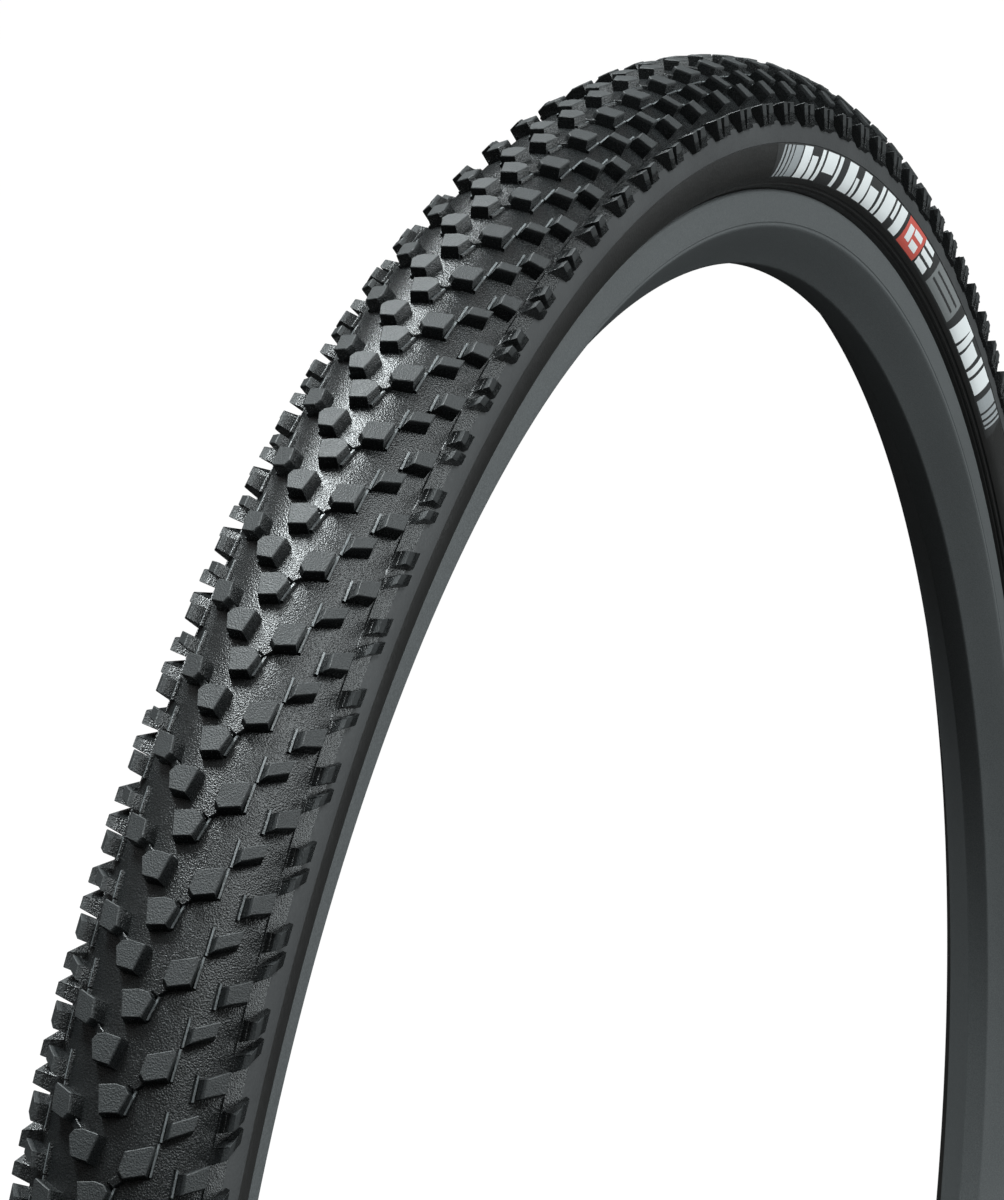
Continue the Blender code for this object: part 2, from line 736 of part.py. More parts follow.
def build():
    clear_scene()
    tread_rubber = finish("tread_rubber", (0.017, 0.018, 0.019), 0.6)
    sidewall_rubber = finish("sidewall_rubber", (0.022, 0.021, 0.02), 0.55)
    nylon = finish("nylon_cloth", (0.16, 0.15, 0.12), 0.8)
    belt_cloth = finish("belt_cloth", (0.55, 0.32, 0.06), 0.8)
    bead_cord = finish("bead_cord", (0.5, 0.4, 0.12), 0.7)
    label_ink = finish("label_ink", (0.5, 0.5, 0.5), 0.5)
    rim_finish = finish("rim_finish", (0.07, 0.075, 0.075), 0.5, 0.4)
    tape_film = finish("tape_film", (0.05, 0.2, 0.5), 0.35)
    valve_metal = finish("valve_metal", (0.6, 0.6, 0.58), 0.3, 1.0)
    black_metal = finish("black_metal", (0.03, 0.03, 0.03), 0.4, 0.8)
    seal_rubber = finish("seal_rubber", (0.02, 0.02, 0.02), 0.7)
    cap_plastic = finish("cap_plastic", (0.02, 0.02, 0.02), 0.35)
    make_tread(tread_rubber)
    make_sidewalls(sidewall_rubber)
    make_puncture_belt(belt_cloth)
    make_casing(nylon)
    make_beads(bead_cord, nylon)
    make_labels(label_ink)
    cutter = valve_cutter()
    make_rim(rim_finish, cutter)
    make_rim_tape(tape_film, cutter)
    make_stem(valve_metal)
    make_base_seal(seal_rubber)
    make_lock_ring(black_metal, seal_rubber)
    make_core(valve_metal)
    make_pin(valve_metal, seal_rubber)
    make_cap(cap_plastic)


build()
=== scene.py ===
import math

import bmesh
import bpy
from mathutils import Matrix, Vector


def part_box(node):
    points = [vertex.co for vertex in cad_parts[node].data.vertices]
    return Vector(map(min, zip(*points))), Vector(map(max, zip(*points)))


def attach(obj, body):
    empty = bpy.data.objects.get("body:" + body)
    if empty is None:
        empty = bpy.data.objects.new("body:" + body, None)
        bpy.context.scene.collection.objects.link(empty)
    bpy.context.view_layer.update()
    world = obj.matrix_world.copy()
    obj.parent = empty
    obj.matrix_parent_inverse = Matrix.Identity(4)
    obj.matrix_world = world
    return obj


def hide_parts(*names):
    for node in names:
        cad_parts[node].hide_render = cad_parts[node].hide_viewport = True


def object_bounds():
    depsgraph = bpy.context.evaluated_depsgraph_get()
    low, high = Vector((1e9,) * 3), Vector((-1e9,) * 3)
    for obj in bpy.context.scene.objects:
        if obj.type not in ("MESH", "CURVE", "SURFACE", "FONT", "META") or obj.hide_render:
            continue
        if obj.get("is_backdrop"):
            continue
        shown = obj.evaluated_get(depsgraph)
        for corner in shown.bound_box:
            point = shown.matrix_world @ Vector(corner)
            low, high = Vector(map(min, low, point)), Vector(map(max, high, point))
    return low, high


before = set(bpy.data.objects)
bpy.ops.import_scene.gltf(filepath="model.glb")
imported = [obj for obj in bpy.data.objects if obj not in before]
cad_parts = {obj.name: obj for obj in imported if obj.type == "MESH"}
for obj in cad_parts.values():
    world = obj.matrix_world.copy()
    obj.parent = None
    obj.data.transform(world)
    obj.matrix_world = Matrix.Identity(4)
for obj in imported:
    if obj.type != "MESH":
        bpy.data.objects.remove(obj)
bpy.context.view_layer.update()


# --- Tread ---------------------------------------------------------------------------------------
# The tread is one ring of black rubber, moulded and cured on the casing. Blocks, low bridges and thin
# ribs stand on its smooth base, and the right half is the left half mirrored and moved on by half a
# pitch.
MM = 0.001
TURN = 2 * math.pi
SECTION_RING = 328.82 * MM
SECTION_RADIUS = 19.8 * MM
BASE_RADIUS_MM = 348.6
PITCHES = 127
PITCH_MM = TURN * BASE_RADIUS_MM / PITCHES
FIRST_PITCH_TURN = math.radians(40.17)
BASE_STEPS = 4 * PITCHES


def wheel_point(radius, across, turn):
    """A point at a radius from the axle, at a turn up from the front of the wheel."""
    return Vector((-radius * math.cos(turn), across, radius * math.sin(turn)))


def tread_point(across_mm, pitch, height_mm):
    """A point over the base: mm across, round the section, pitches along and mm of height."""
    angle = across_mm * MM / SECTION_RADIUS
    distance = SECTION_RADIUS + height_mm * MM
    turn = FIRST_PITCH_TURN + TURN * pitch / PITCHES
    return wheel_point(
        SECTION_RING + distance * math.cos(angle), distance * math.sin(angle), turn
    )


SHARPEST_REACH = 0.45


def grown(outline, distance_mm):
    """The outline (mm across, pitches along) with every edge moved outwards by the distance."""
    flat = [Vector((a, p * PITCH_MM)) for a, p in outline]
    area = sum(a.cross(b) for a, b in zip(flat, flat[1:] + flat[:1]))
    side = 1 if area > 0 else -1
    result = []
    for i, corner in enumerate(flat):
        before = (corner - flat[i - 1]).normalized()
        after = (flat[(i + 1) % len(flat)] - corner).normalized()
        out_before = Vector((before.y, -before.x)) * side
        out_after = Vector((after.y, -after.x)) * side
        bisector = (out_before + out_after).normalized()
        reach = distance_mm / max(SHARPEST_REACH, bisector.dot(out_before))
        moved = corner + bisector * reach
        result.append((moved.x, moved.y / PITCH_MM))
    return result


def spread(outline, distance_mm):
    """The outline stretched sideways, as a block's side walls lean outwards to their foot."""
    middle = sum(a for a, _ in outline) / len(outline)
    return [(a + math.copysign(distance_mm, a - middle), p) for a, p in outline]


FOOT_LEAD = 0.03
EDGE_DROP = 0.14
EDGE_SWELL = 0.05
RIDGE_EDGE_SWELL = 0.03
TOP_INSET = 0.1


def plain_block(top, height, lean):
    """Rings of (across, along, height) from a block's foot to its softened top edge."""
    middle = sum(p for _, p in top) / len(top)
    foot = [(a, p - (FOOT_LEAD if p < middle else 0.0), 0.0) for a, p in spread(top, lean)]
    edge = [(a, p, height - EDGE_DROP) for a, p in grown(top, EDGE_SWELL)]
    return [foot, edge, [(a, p, height) for a, p in grown(top, -TOP_INSET)]]


def shoulder_block(top, heights, lean):
    """A block whose top rises to a ridge and slopes away down the shoulder of the tyre."""
    rings = [[(a, p, 0.0) for a, p in grown(top, lean)]]
    for drop, swell in ((EDGE_DROP, RIDGE_EDGE_SWELL), (0.0, -TOP_INSET)):
        level = [h - drop for h in heights]
        rings.append([(a, p, h) for (a, p), h in zip(grown(top, swell), level)])
    return rings


RIB_RINGS = ((0.42, 0.0), (0.34, 0.5), (0.25, 0.68), (0.18, 0.74))


def rib(first, last):
    """A thin moulded ridge along the foot of a block's side wall, narrower towards its tip."""
    rings = []
    for half, height in RIB_RINGS:
        strip = [(first[0] - half, first[1]), (first[0] + half, first[1])]
        strip += [(last[0] + half, last[1]), (last[0] - half, last[1])]
        rings.append([(a, p, height) for a, p in strip])
    return rings


CENTRE = [
    (-3.55, 0.121), (-0.35, 0.088), (0.7, 0.375), (-2.2, 0.407), (-3.8, 0.39), (-4.6, 0.325),
]
INNER = [
    (-9.87, 0.558), (-6.6, 0.482), (-5.7, 0.55), (-6.1, 0.75), (-10.0, 0.85), (-10.4, 0.835),
]
BRIDGE = [(-6.38, 0.465), (-5.02, 0.385), (-3.79, 0.432), (-5.49, 0.519)]
LINK = [(-6.7, 0.53), (-6.4, 0.46), (-3.7, 0.34), (-3.4, 0.39)]
MIDDLE = [(-15.8, 0.1), (-12.3, -0.035), (-12.35, 0.12), (-16.0, 0.255)]
OUTER = [(-19.6, 0.55), (-16.25, 0.445), (-16.1, 0.64), (-19.55, 0.78)]
SHOULDER_LONG = [
    (-21.5, 0.815), (-22.0, 0.875), (-26.4, 1.11), (-26.4, 1.27), (-22.0, 1.02), (-21.5, 0.99),
]
LONG_HEIGHTS = [0.5, 3.9, 1.2, 1.2, 3.9, 0.5]
SHOULDER_SHORT = [
    (-21.7, 1.17), (-22.1, 1.186), (-26.1, 1.35), (-26.2, 1.6), (-21.95, 1.363), (-21.6, 1.38),
]
SHORT_HEIGHTS = [1.6, 3.8, 1.2, 1.2, 3.8, 1.6]

left_blocks = [
    plain_block(CENTRE, 2.75, 0.45),
    plain_block(INNER, 2.95, 0.7),
    plain_block(BRIDGE, 1.1, 0.2),
    plain_block(LINK, 0.55, 0.1),
    plain_block(MIDDLE, 3.3, 0.85),
    plain_block(OUTER, 3.4, 0.85),
    shoulder_block(SHOULDER_LONG, LONG_HEIGHTS, 0.2),
    shoulder_block(SHOULDER_SHORT, SHORT_HEIGHTS, 0.2),
    rib((-11.35, -0.08), (-11.45, 0.24)),
    rib((-15.2, 0.39), (-15.2, 0.68)),
    rib((-10.85, 0.55), (-11.1, 0.9)),
    rib((-4.2, 0.12), (-5.3, 0.385)),
]
MIRROR_SHIFT = 0.5
HALF_PITCH = 0.5
right_blocks = [
    [[(-a - MIRROR_SHIFT, p + HALF_PITCH, h) for a, p, h in ring] for ring in block]
    for block in left_blocks
]
# Slot 1 paints the ribs' tips pale, a painted highlight rather than the rubber's own colour.
BLOCK_RUBBER, RIB_PAINTED_HIGHLIGHT = range(2)
SUNK = 0.3


def base_rows():
    """Rows of (across, height) over the base, with a fine moulded line beside each shoulder."""
    half = [(-25.3 + 1.1 * i, 0.0) for i in range(4)]
    half += [(-21.75, 0.0), (-21.6, 0.3), (-21.2, 0.3), (-21.05, 0.0)]
    half += [(-19.8 + 1.1 * i, 0.0) for i in range(18)]
    return half + [(0.0, 0.0)] + [(-across, height) for across, height in half[::-1]]


def add_base(mesh):
    rows = []
    for across, height in base_rows():
        turns = [PITCHES * step / BASE_STEPS for step in range(BASE_STEPS)]
        rows.append([mesh.verts.new(tread_point(across, turn, height)) for turn in turns])
    for lower, upper in zip(rows, rows[1:]):
        for step in range(BASE_STEPS):
            after = (step + 1) % BASE_STEPS
            mesh.faces.new((lower[step], lower[after], upper[after], upper[step]))


def add_block(mesh, block, pitch):
    """Raises one block's rings from just under the base, and closes its top."""
    below = [mesh.verts.new(tread_point(a, pitch + p, -SUNK)) for a, p, _ in block[0]]
    for ring in block:
        above = [mesh.verts.new(tread_point(a, pitch + p, h)) for a, p, h in ring]
        for i in range(len(ring)):
            j = (i + 1) % len(ring)
            mesh.faces.new((below[i], below[j], above[j], above[i]))
        below = above
    heights = [h for _, _, h in block[-1]]
    if heights[1] == heights[2]:
        # A rib's top face takes the pale slot, a painted highlight; other tops take the block rubber.
        is_rib = len(block) == len(RIB_RINGS)
        mesh.faces.new(below).material_index = RIB_PAINTED_HIGHLIGHT if is_rib else BLOCK_RUBBER
    else:
        # The two slopes of a shoulder block meet at its ridge.
        mesh.faces.new((below[0], below[1], below[4], below[5]))
        mesh.faces.new((below[1], below[2], below[3], below[4]))


def tread_mesh():
    mesh = bmesh.new()
    add_base(mesh)
    for pitch in range(PITCHES):
        for block in left_blocks + right_blocks:
            add_block(mesh, block, pitch)
    bmesh.ops.recalc_face_normals(mesh, faces=mesh.faces)
    return mesh


def piece_from(mesh, name, sharp_degrees=35):
    """Turns finished mesh work into an object, smooth but for its sharp edges."""
    data = bpy.data.meshes.new(name)
    mesh.to_mesh(data)
    mesh.free()
    data.shade_smooth()
    data.set_sharp_from_angle(angle=math.radians(sharp_degrees))
    piece = bpy.data.objects.new(name, data)
    bpy.context.scene.collection.objects.link(piece)
    return piece


def node(tree, kind, place, **settings):
    """Adds a shader node at a place on the sheet, with its properties and input values."""
    made = tree.nodes.new(kind)
    made.location = (place[0] * 190, place[1] * -220)
    for key, value in settings.items():
        if key in made.inputs:
            made.inputs[key].default_value = value
        else:
            setattr(made, key, value)
    return made


def named_sockets(tree, inputs, outputs):
    """Gives a node group its inputs, with their usual values, and its outputs."""
    for label, kind, value in inputs:
        made = tree.interface.new_socket(label, in_out="INPUT", socket_type=kind)
        made.default_value = value
    for label, kind in outputs:
        tree.interface.new_socket(label, in_out="OUTPUT", socket_type=kind)


def mixed_colour(tree, place, share, under, over):
    """Goes from one colour to the other by a share of 0 to 1, and returns the result's socket."""
    mix = node(tree, "ShaderNodeMix", place, data_type="RGBA")
    under_socket, over_socket, result = mix.inputs[6], mix.inputs[7], mix.outputs[2]
    tree.links.new(share, mix.inputs["Factor"])
    tree.links.new(under, under_socket)
    tree.links.new(over, over_socket)
    return result


def moulded_rubber_group():
    """Fine eroded grain of a rubber mould, with faint cloudy bloom on the surface."""
    tree = bpy.data.node_groups.new("moulded_rubber", "ShaderNodeTree")
    named_sockets(
        tree,
        [
            ("Colour", "NodeSocketColor", (0.02, 0.02, 0.02, 1)),
            ("Bloom Colour", "NodeSocketColor", (0.05, 0.05, 0.05, 1)),
            ("Bloom", "NodeSocketFloat", 0.4),
            ("Grain Size", "NodeSocketFloat", 1800.0),
            ("Roughness", "NodeSocketFloat", 0.55),
        ],
        [
            ("Colour", "NodeSocketColor"),
            ("Roughness", "NodeSocketFloat"),
            ("Height", "NodeSocketFloat"),
        ],
    )
    link = tree.links.new
    given = node(tree, "NodeGroupInput", (0, 0))
    where = node(tree, "ShaderNodeTexCoord", (0, 2))
    grain = node(tree, "ShaderNodeTexNoise", (1, 1), Detail=3.0, Roughness=0.65)
    pits = node(tree, "ShaderNodeTexVoronoi", (1, 2), feature="F1")
    cloud = node(tree, "ShaderNodeTexNoise", (1, 3), Scale=38.0, Detail=4.0, Roughness=0.6)
    for texture in (grain, pits, cloud):
        link(where.outputs["Object"], texture.inputs["Vector"])
    link(given.outputs["Grain Size"], grain.inputs["Scale"])
    link(given.outputs["Grain Size"], pits.inputs["Scale"])
    patch = node(tree, "ShaderNodeMapRange", (2, 3))
    patch.inputs["From Min"].default_value = 0.42
    patch.inputs["From Max"].default_value = 0.68
    link(cloud.outputs["Fac"], patch.inputs["Value"])
    speckle = node(tree, "ShaderNodeMapRange", (2, 1))
    speckle.inputs["From Min"].default_value = 0.35
    speckle.inputs["From Max"].default_value = 0.75
    link(grain.outputs["Fac"], speckle.inputs["Value"])
    both = node(tree, "ShaderNodeMath", (3, 2), operation="MULTIPLY_ADD")
    both.inputs[1].default_value = 0.6
    link(patch.outputs["Result"], both.inputs[0])
    link(speckle.outputs["Result"], both.inputs[2])
    amount = node(tree, "ShaderNodeMath", (4, 2), operation="MULTIPLY", use_clamp=True)
    link(both.outputs[0], amount.inputs[0])
    link(given.outputs["Bloom"], amount.inputs[1])
    colours = given.outputs["Colour"], given.outputs["Bloom Colour"]
    colour = mixed_colour(tree, (5, 1), amount.outputs[0], *colours)
    rough = node(tree, "ShaderNodeMath", (5, 2), operation="MULTIPLY_ADD")
    rough.inputs[1].default_value = 0.22
    link(speckle.outputs["Result"], rough.inputs[0])
    link(given.outputs["Roughness"], rough.inputs[2])
    height = node(tree, "ShaderNodeMath", (5, 3), operation="ADD")
    link(grain.outputs["Fac"], height.inputs[0])
    link(pits.outputs["Distance"], height.inputs[1])
    out = node(tree, "NodeGroupOutput", (6, 1))
    link(colour, out.inputs["Colour"])
    link(rough.outputs[0], out.inputs["Roughness"])
    link(height.outputs[0], out.inputs["Height"])
    return tree


MOULDED_RUBBER = moulded_rubber_group()


def section_height_group():
    """How far a point stands off the tyre's round section: 0 at From and 1 at To, in metres."""
    tree = bpy.data.node_groups.new("section_height", "ShaderNodeTree")
    named_sockets(
        tree,
        [("From", "NodeSocketFloat", 0.0), ("To", "NodeSocketFloat", 0.002)],
        [("Share", "NodeSocketFloat"), ("Radius", "NodeSocketFloat")],
    )
    link = tree.links.new
    given = node(tree, "NodeGroupInput", (0, 0))
    where = node(tree, "ShaderNodeTexCoord", (0, 1))
    split = node(tree, "ShaderNodeSeparateXYZ", (1, 1))
    link(where.outputs["Object"], split.inputs[0])
    flat = node(tree, "ShaderNodeCombineXYZ", (2, 1))
    link(split.outputs["X"], flat.inputs["X"])
    link(split.outputs["Z"], flat.inputs["Y"])
    radius = node(tree, "ShaderNodeVectorMath", (3, 1), operation="LENGTH")
    link(flat.outputs[0], radius.inputs[0])
    above = node(tree, "ShaderNodeMath", (4, 1), operation="SUBTRACT")
    above.inputs[1].default_value = SECTION_RING
    link(radius.outputs["Value"], above.inputs[0])
    offset = node(tree, "ShaderNodeCombineXYZ", (5, 1))
    link(above.outputs[0], offset.inputs["X"])
    link(split.outputs["Y"], offset.inputs["Y"])
    distance = node(tree, "ShaderNodeVectorMath", (6, 1), operation="LENGTH")
    link(offset.outputs[0], distance.inputs[0])
    height = node(tree, "ShaderNodeMath", (7, 1), operation="SUBTRACT")
    height.inputs[1].default_value = SECTION_RADIUS
    link(distance.outputs["Value"], height.inputs[0])
    share = node(tree, "ShaderNodeMapRange", (8, 1), interpolation_type="SMOOTHSTEP")
    link(height.outputs[0], share.inputs["Value"])
    link(given.outputs["From"], share.inputs["From Min"])
    link(given.outputs["To"], share.inputs["From Max"])
    out = node(tree, "NodeGroupOutput", (9, 1))
    link(share.outputs["Result"], out.inputs["Share"])
    link(radius.outputs["Value"], out.inputs["Radius"])
    return tree


SECTION_HEIGHT = section_height_group()


def new_material(name):
    surface = bpy.data.materials.new(name)
    surface.use_nodes = True
    return surface, surface.node_tree, surface.node_tree.nodes["Principled BSDF"]


def group_in(tree, group, place, **values):
    """Places a node group in a material, with values for its inputs."""
    made = node(tree, "ShaderNodeGroup", place, node_tree=group)
    for key, value in values.items():
        made.inputs[key.replace("_", " ")].default_value = value
    return made


def bumped(tree, shader, height, strength, distance):
    bump = node(tree, "ShaderNodeBump", (-1, 3), Strength=strength, Distance=distance)
    tree.links.new(height, bump.inputs["Height"])
    tree.links.new(bump.outputs["Normal"], shader.inputs["Normal"])


def laid_over(tree, shader, share, under, over):
    """Covers one rubber with another as the share goes from 0 to 1."""
    colour = mixed_colour(tree, (-2, 0), share, under.outputs["Colour"], over.outputs["Colour"])
    rough = node(tree, "ShaderNodeMix", (-2, 1), data_type="FLOAT")
    tree.links.new(share, rough.inputs["Factor"])
    tree.links.new(under.outputs["Roughness"], rough.inputs["A"])
    tree.links.new(over.outputs["Roughness"], rough.inputs["B"])
    tree.links.new(colour, shader.inputs["Base Color"])
    tree.links.new(rough.outputs[0], shader.inputs["Roughness"])


def tread_rubber():
    """Dull grained block tops over a darker and shinier base; the block sides below the tops take the
    base's darker colour as painted shade.
    """
    surface, tree, shader = new_material("tread_rubber_looks")
    tops = group_in(
        tree, MOULDED_RUBBER, (-4, 0),
        Colour=(0.012, 0.0135, 0.014, 1), Bloom_Colour=(0.036, 0.04, 0.041, 1), Bloom=0.42,
        Grain_Size=2900.0, Roughness=0.5,
    )
    base = group_in(
        tree, MOULDED_RUBBER, (-4, 1),
        Colour=(0.005, 0.0058, 0.006, 1), Bloom_Colour=(0.024, 0.026, 0.027, 1), Bloom=0.3,
        Grain_Size=2900.0, Roughness=0.2,
    )
    # Below 2.2 mm over the base, block sides get the darker base colour as painted shade; the grey top
    # colour starts only near the tops.
    height = group_in(tree, SECTION_HEIGHT, (-4, 2), From=0.0022, To=0.0027)
    laid_over(tree, shader, height.outputs["Share"], base, tops)
    bumped(tree, shader, tops.outputs["Height"], 0.8, 0.00009)
    return surface


def painted_highlight_rubber():
    """The ribs' tips, coloured pale as a painted highlight."""
    surface, tree, shader = new_material("rib_painted_highlight")
    painted_shine = group_in(
        tree, MOULDED_RUBBER, (-4, 0),
        Colour=(0.07, 0.078, 0.08, 1), Bloom_Colour=(0.2, 0.215, 0.22, 1), Bloom=0.6,
        Grain_Size=2900.0, Roughness=0.25,
    )
    tree.links.new(painted_shine.outputs["Colour"], shader.inputs["Base Color"])
    tree.links.new(painted_shine.outputs["Roughness"], shader.inputs["Roughness"])
    bumped(tree, shader, painted_shine.outputs["Height"], 0.3, 0.00006)
    return surface


tread = piece_from(tread_mesh(), "tread_blocks", 22)
tread.data.materials.append(tread_rubber())
# The second slot is the painted highlight on the ribs' tips.
tread.data.materials.append(painted_highlight_rubber())
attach(tread, "wheel")
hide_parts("tread")


# --- Sidewalls -----------------------------------------------------------------------------------
# Each sidewall is a thin skin of rubber over the casing. A wing of tread rubber laps over its upper
# part in a grained band, and two fine moulded rings beside the rim show that the bead has seated.
RING_STEPS = 360


def turned_ring(outline, closed=False):
    """Carries (across, radius) points in mm round the wheel's axle."""
    mesh = bmesh.new()
    rows = []
    turns = [TURN * step / RING_STEPS for step in range(RING_STEPS)]
    for across, radius in outline:
        places = [wheel_point(radius * MM, across * MM, turn) for turn in turns]
        rows.append([mesh.verts.new(place) for place in places])
    pairs = list(zip(rows, rows[1:]))
    if closed:
        pairs.append((rows[-1], rows[0]))
    for lower, upper in pairs:
        for step in range(RING_STEPS):
            after = (step + 1) % RING_STEPS
            mesh.faces.new((lower[step], lower[after], upper[after], upper[step]))
    bmesh.ops.recalc_face_normals(mesh, faces=mesh.faces)
    return mesh


def section_at(degrees, distance_mm):
    """(across, radius) in mm of a point on the section, by its angle down from the crown."""
    angle = math.radians(degrees)
    return distance_mm * math.sin(angle), SECTION_RING / MM + distance_mm * math.cos(angle)


def wing_outline():
    """The wing of tread rubber, from under the shoulder blocks to its edge."""
    return [section_at(71 + 2 * i, 19.78) for i in range(9)] + [section_at(89.2, 19.76)]


def skin_outline():
    """The skin below the wing, over two moulded rings beside the rim and down to the bead."""
    outline = [section_at(89.6, 19.58)]
    outline += [section_at(91 + 2.2 * i, 19.56 - 0.02 * i) for i in range(8)]
    outline += [(18.4, 322.6), (17.92, 321.5), (17.3, 320.5), (16.6, 319.7), (15.9, 319.0)]
    outline += [(15.75, 319.15), (15.3, 319.1), (14.95, 318.72), (14.9, 318.45), (14.5, 318.2)]
    outline += [(14.35, 318.42), (14.0, 318.4), (13.7, 318.1), (13.62, 317.9)]
    outline += [(13.0, 317.62), (12.25, 317.35), (11.9, 316.9), (11.4, 316.5)]
    return outline


WING_EDGE_LOW = 328.8 * MM
WING_EDGE_HIGH = 329.1 * MM


def sidewall_rubber():
    """Grained rubber on the wing, and a smoother and blacker skin below its edge."""
    surface, tree, shader = new_material("sidewall_rubber_looks")
    wing = group_in(
        tree, MOULDED_RUBBER, (-4, 0),
        Colour=(0.02, 0.021, 0.022, 1), Bloom_Colour=(0.052, 0.054, 0.055, 1), Bloom=0.6,
        Grain_Size=1300.0, Roughness=0.56,
    )
    skin = group_in(
        tree, MOULDED_RUBBER, (-4, 1),
        Colour=(0.009, 0.0085, 0.008, 1), Bloom_Colour=(0.02, 0.019, 0.0175, 1), Bloom=0.4,
        Grain_Size=2600.0, Roughness=0.36,
    )
    place = group_in(tree, SECTION_HEIGHT, (-4, 2))
    edge = node(tree, "ShaderNodeMapRange", (-3, 2))
    edge.inputs["From Min"].default_value = WING_EDGE_LOW
    edge.inputs["From Max"].default_value = WING_EDGE_HIGH
    tree.links.new(place.outputs["Radius"], edge.inputs["Value"])
    laid_over(tree, shader, edge.outputs["Result"], skin, wing)
    bumped(tree, shader, wing.outputs["Height"], 0.25, 0.0001)
    return surface


SIDEWALL_LOOKS = sidewall_rubber()
for side, sign in (("left", -1), ("right", 1)):
    outline = wing_outline() + skin_outline()
    mesh = turned_ring([(sign * across, radius) for across, radius in outline])
    wall = piece_from(mesh, f"sidewall_skin_{side}")
    wall.data.materials.append(SIDEWALL_LOOKS)
    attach(wall, "wheel")
    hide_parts(f"sidewall_{side}")


# --- Labels --------------------------------------------------------------------------------------
# A printed transfer is cured onto each sidewall. It is a black strip with silver bars at both ends
# and slanted blocks of white, red and grey ink. It carries no words.
LABEL_LOW = 320.4
LABEL_HIGH = 328.5
LABEL_MIDDLE_DEGREES = 102.0
INK_STEP_DEGREES = 0.5
INK_ROWS = 19
STRIP_PROUD = 0.06
INK_PROUD = 0.1
INSET_PROUD = 0.14


def sidewall_point(radius_mm, sign, turn, proud_mm):
    """A point a little proud of the sidewall at a given radius from the axle."""
    outline = skin_outline()
    for (a0, r0), (a1, r1) in zip(outline, outline[1:]):
        if r1 <= radius_mm <= r0:
            share = (r0 - radius_mm) / (r0 - r1)
            outward = Vector((r0 - r1, a0 - a1)).normalized()
            across = a0 + (a1 - a0) * share + outward.x * proud_mm
            radius = radius_mm - outward.y * proud_mm
            return wheel_point(radius * MM, sign * across * MM, turn)
    return wheel_point(radius_mm * MM, sign * (outline[0][0] + proud_mm) * MM, turn)


def ink_patch(mesh, sign, bar, proud_mm):
    """A slanted bar of ink, between two turns in degrees and two radii in mm."""
    start, end, low, high, slant, ink = bar
    columns = max(2, math.ceil((end - start) / INK_STEP_DEGREES)) + 1
    grid = []
    for row in range(INK_ROWS):
        radius = low + (high - low) * row / (INK_ROWS - 1)
        lean = slant * (radius - LABEL_LOW) / (LABEL_HIGH - LABEL_LOW)
        line = []
        for column in range(columns):
            degrees = start + (end - start) * column / (columns - 1) + lean
            if sign > 0:
                degrees = 2 * LABEL_MIDDLE_DEGREES - degrees
            place = sidewall_point(radius, sign, math.radians(degrees), proud_mm)
            line.append(mesh.verts.new(place))
        grid.append(line)
    for lower, upper in zip(grid, grid[1:]):
        for i in range(columns - 1):
            face = mesh.faces.new((lower[i], lower[i + 1], upper[i + 1], upper[i]))
            face.material_index = ink


BLACK, SILVER, WHITE, RED, GREY = range(5)
LABEL_BARS = [
    (79.6, 124.0, 319.9, 328.9, 0.0, BLACK),
    (79.9, 80.15, 320.4, 328.5, 0.7, SILVER), (80.4, 80.8, 320.4, 328.5, 0.7, SILVER),
    (81.0, 81.35, 320.4, 328.5, 0.7, SILVER), (81.5, 82.6, 320.4, 328.5, 0.7, SILVER),
    (82.9, 84.1, 320.3, 328.6, 0.6, WHITE), (84.4, 85.3, 320.3, 326.4, 0.45, WHITE),
    (85.6, 86.1, 320.3, 328.6, 0.6, WHITE), (86.4, 88.1, 322.9, 328.6, 0.6, WHITE),
    (88.4, 88.9, 320.3, 328.6, 0.6, WHITE), (89.9, 91.3, 320.3, 328.6, 0.6, WHITE),
    (91.6, 92.1, 320.3, 325.4, 0.4, WHITE), (92.4, 93.6, 320.3, 328.6, 0.6, WHITE),
    (93.9, 95.3, 320.3, 326.0, 0.42, WHITE), (95.6, 96.1, 320.3, 328.6, 0.6, WHITE),
    (96.4, 97.9, 320.3, 328.6, 0.6, WHITE), (98.2, 98.7, 322.9, 328.6, 0.6, WHITE),
    (99.0, 100.2, 320.3, 328.6, 0.6, WHITE),
    (100.7, 104.0, 320.2, 328.8, 0.6, RED),
    (104.5, 106.2, 326.6, 328.5, 0.1, WHITE), (104.4, 106.4, 323.6, 325.6, 0.1, WHITE),
    (104.3, 106.1, 320.6, 322.6, 0.1, WHITE),
    (106.9, 112.0, 320.4, 328.5, 0.6, GREY),
    (112.8, 114.4, 320.3, 328.7, 0.9, WHITE), (114.7, 115.4, 320.3, 328.7, 0.6, WHITE),
    (115.7, 117.2, 320.3, 326.8, 0.4, WHITE), (117.5, 118.1, 320.3, 328.7, 0.6, WHITE),
    (118.4, 119.9, 320.3, 328.7, 0.6, WHITE),
    (120.5, 121.7, 320.4, 328.5, 0.6, SILVER), (121.9, 122.3, 320.4, 328.5, 0.6, SILVER),
    (122.5, 122.8, 320.4, 328.5, 0.6, SILVER), (123.0, 123.2, 320.4, 328.5, 0.6, SILVER),
]
LABEL_INSETS = [
    (101.3, 102.1, 322.2, 326.9, 0.35, WHITE), (102.5, 103.9, 325.3, 327.3, 0.1, WHITE),
    (102.4, 103.6, 321.6, 323.9, 0.15, WHITE),
    (107.7, 112.0, 325.4, 326.2, 0.05, BLACK), (107.4, 111.7, 322.6, 323.4, 0.05, BLACK),
]


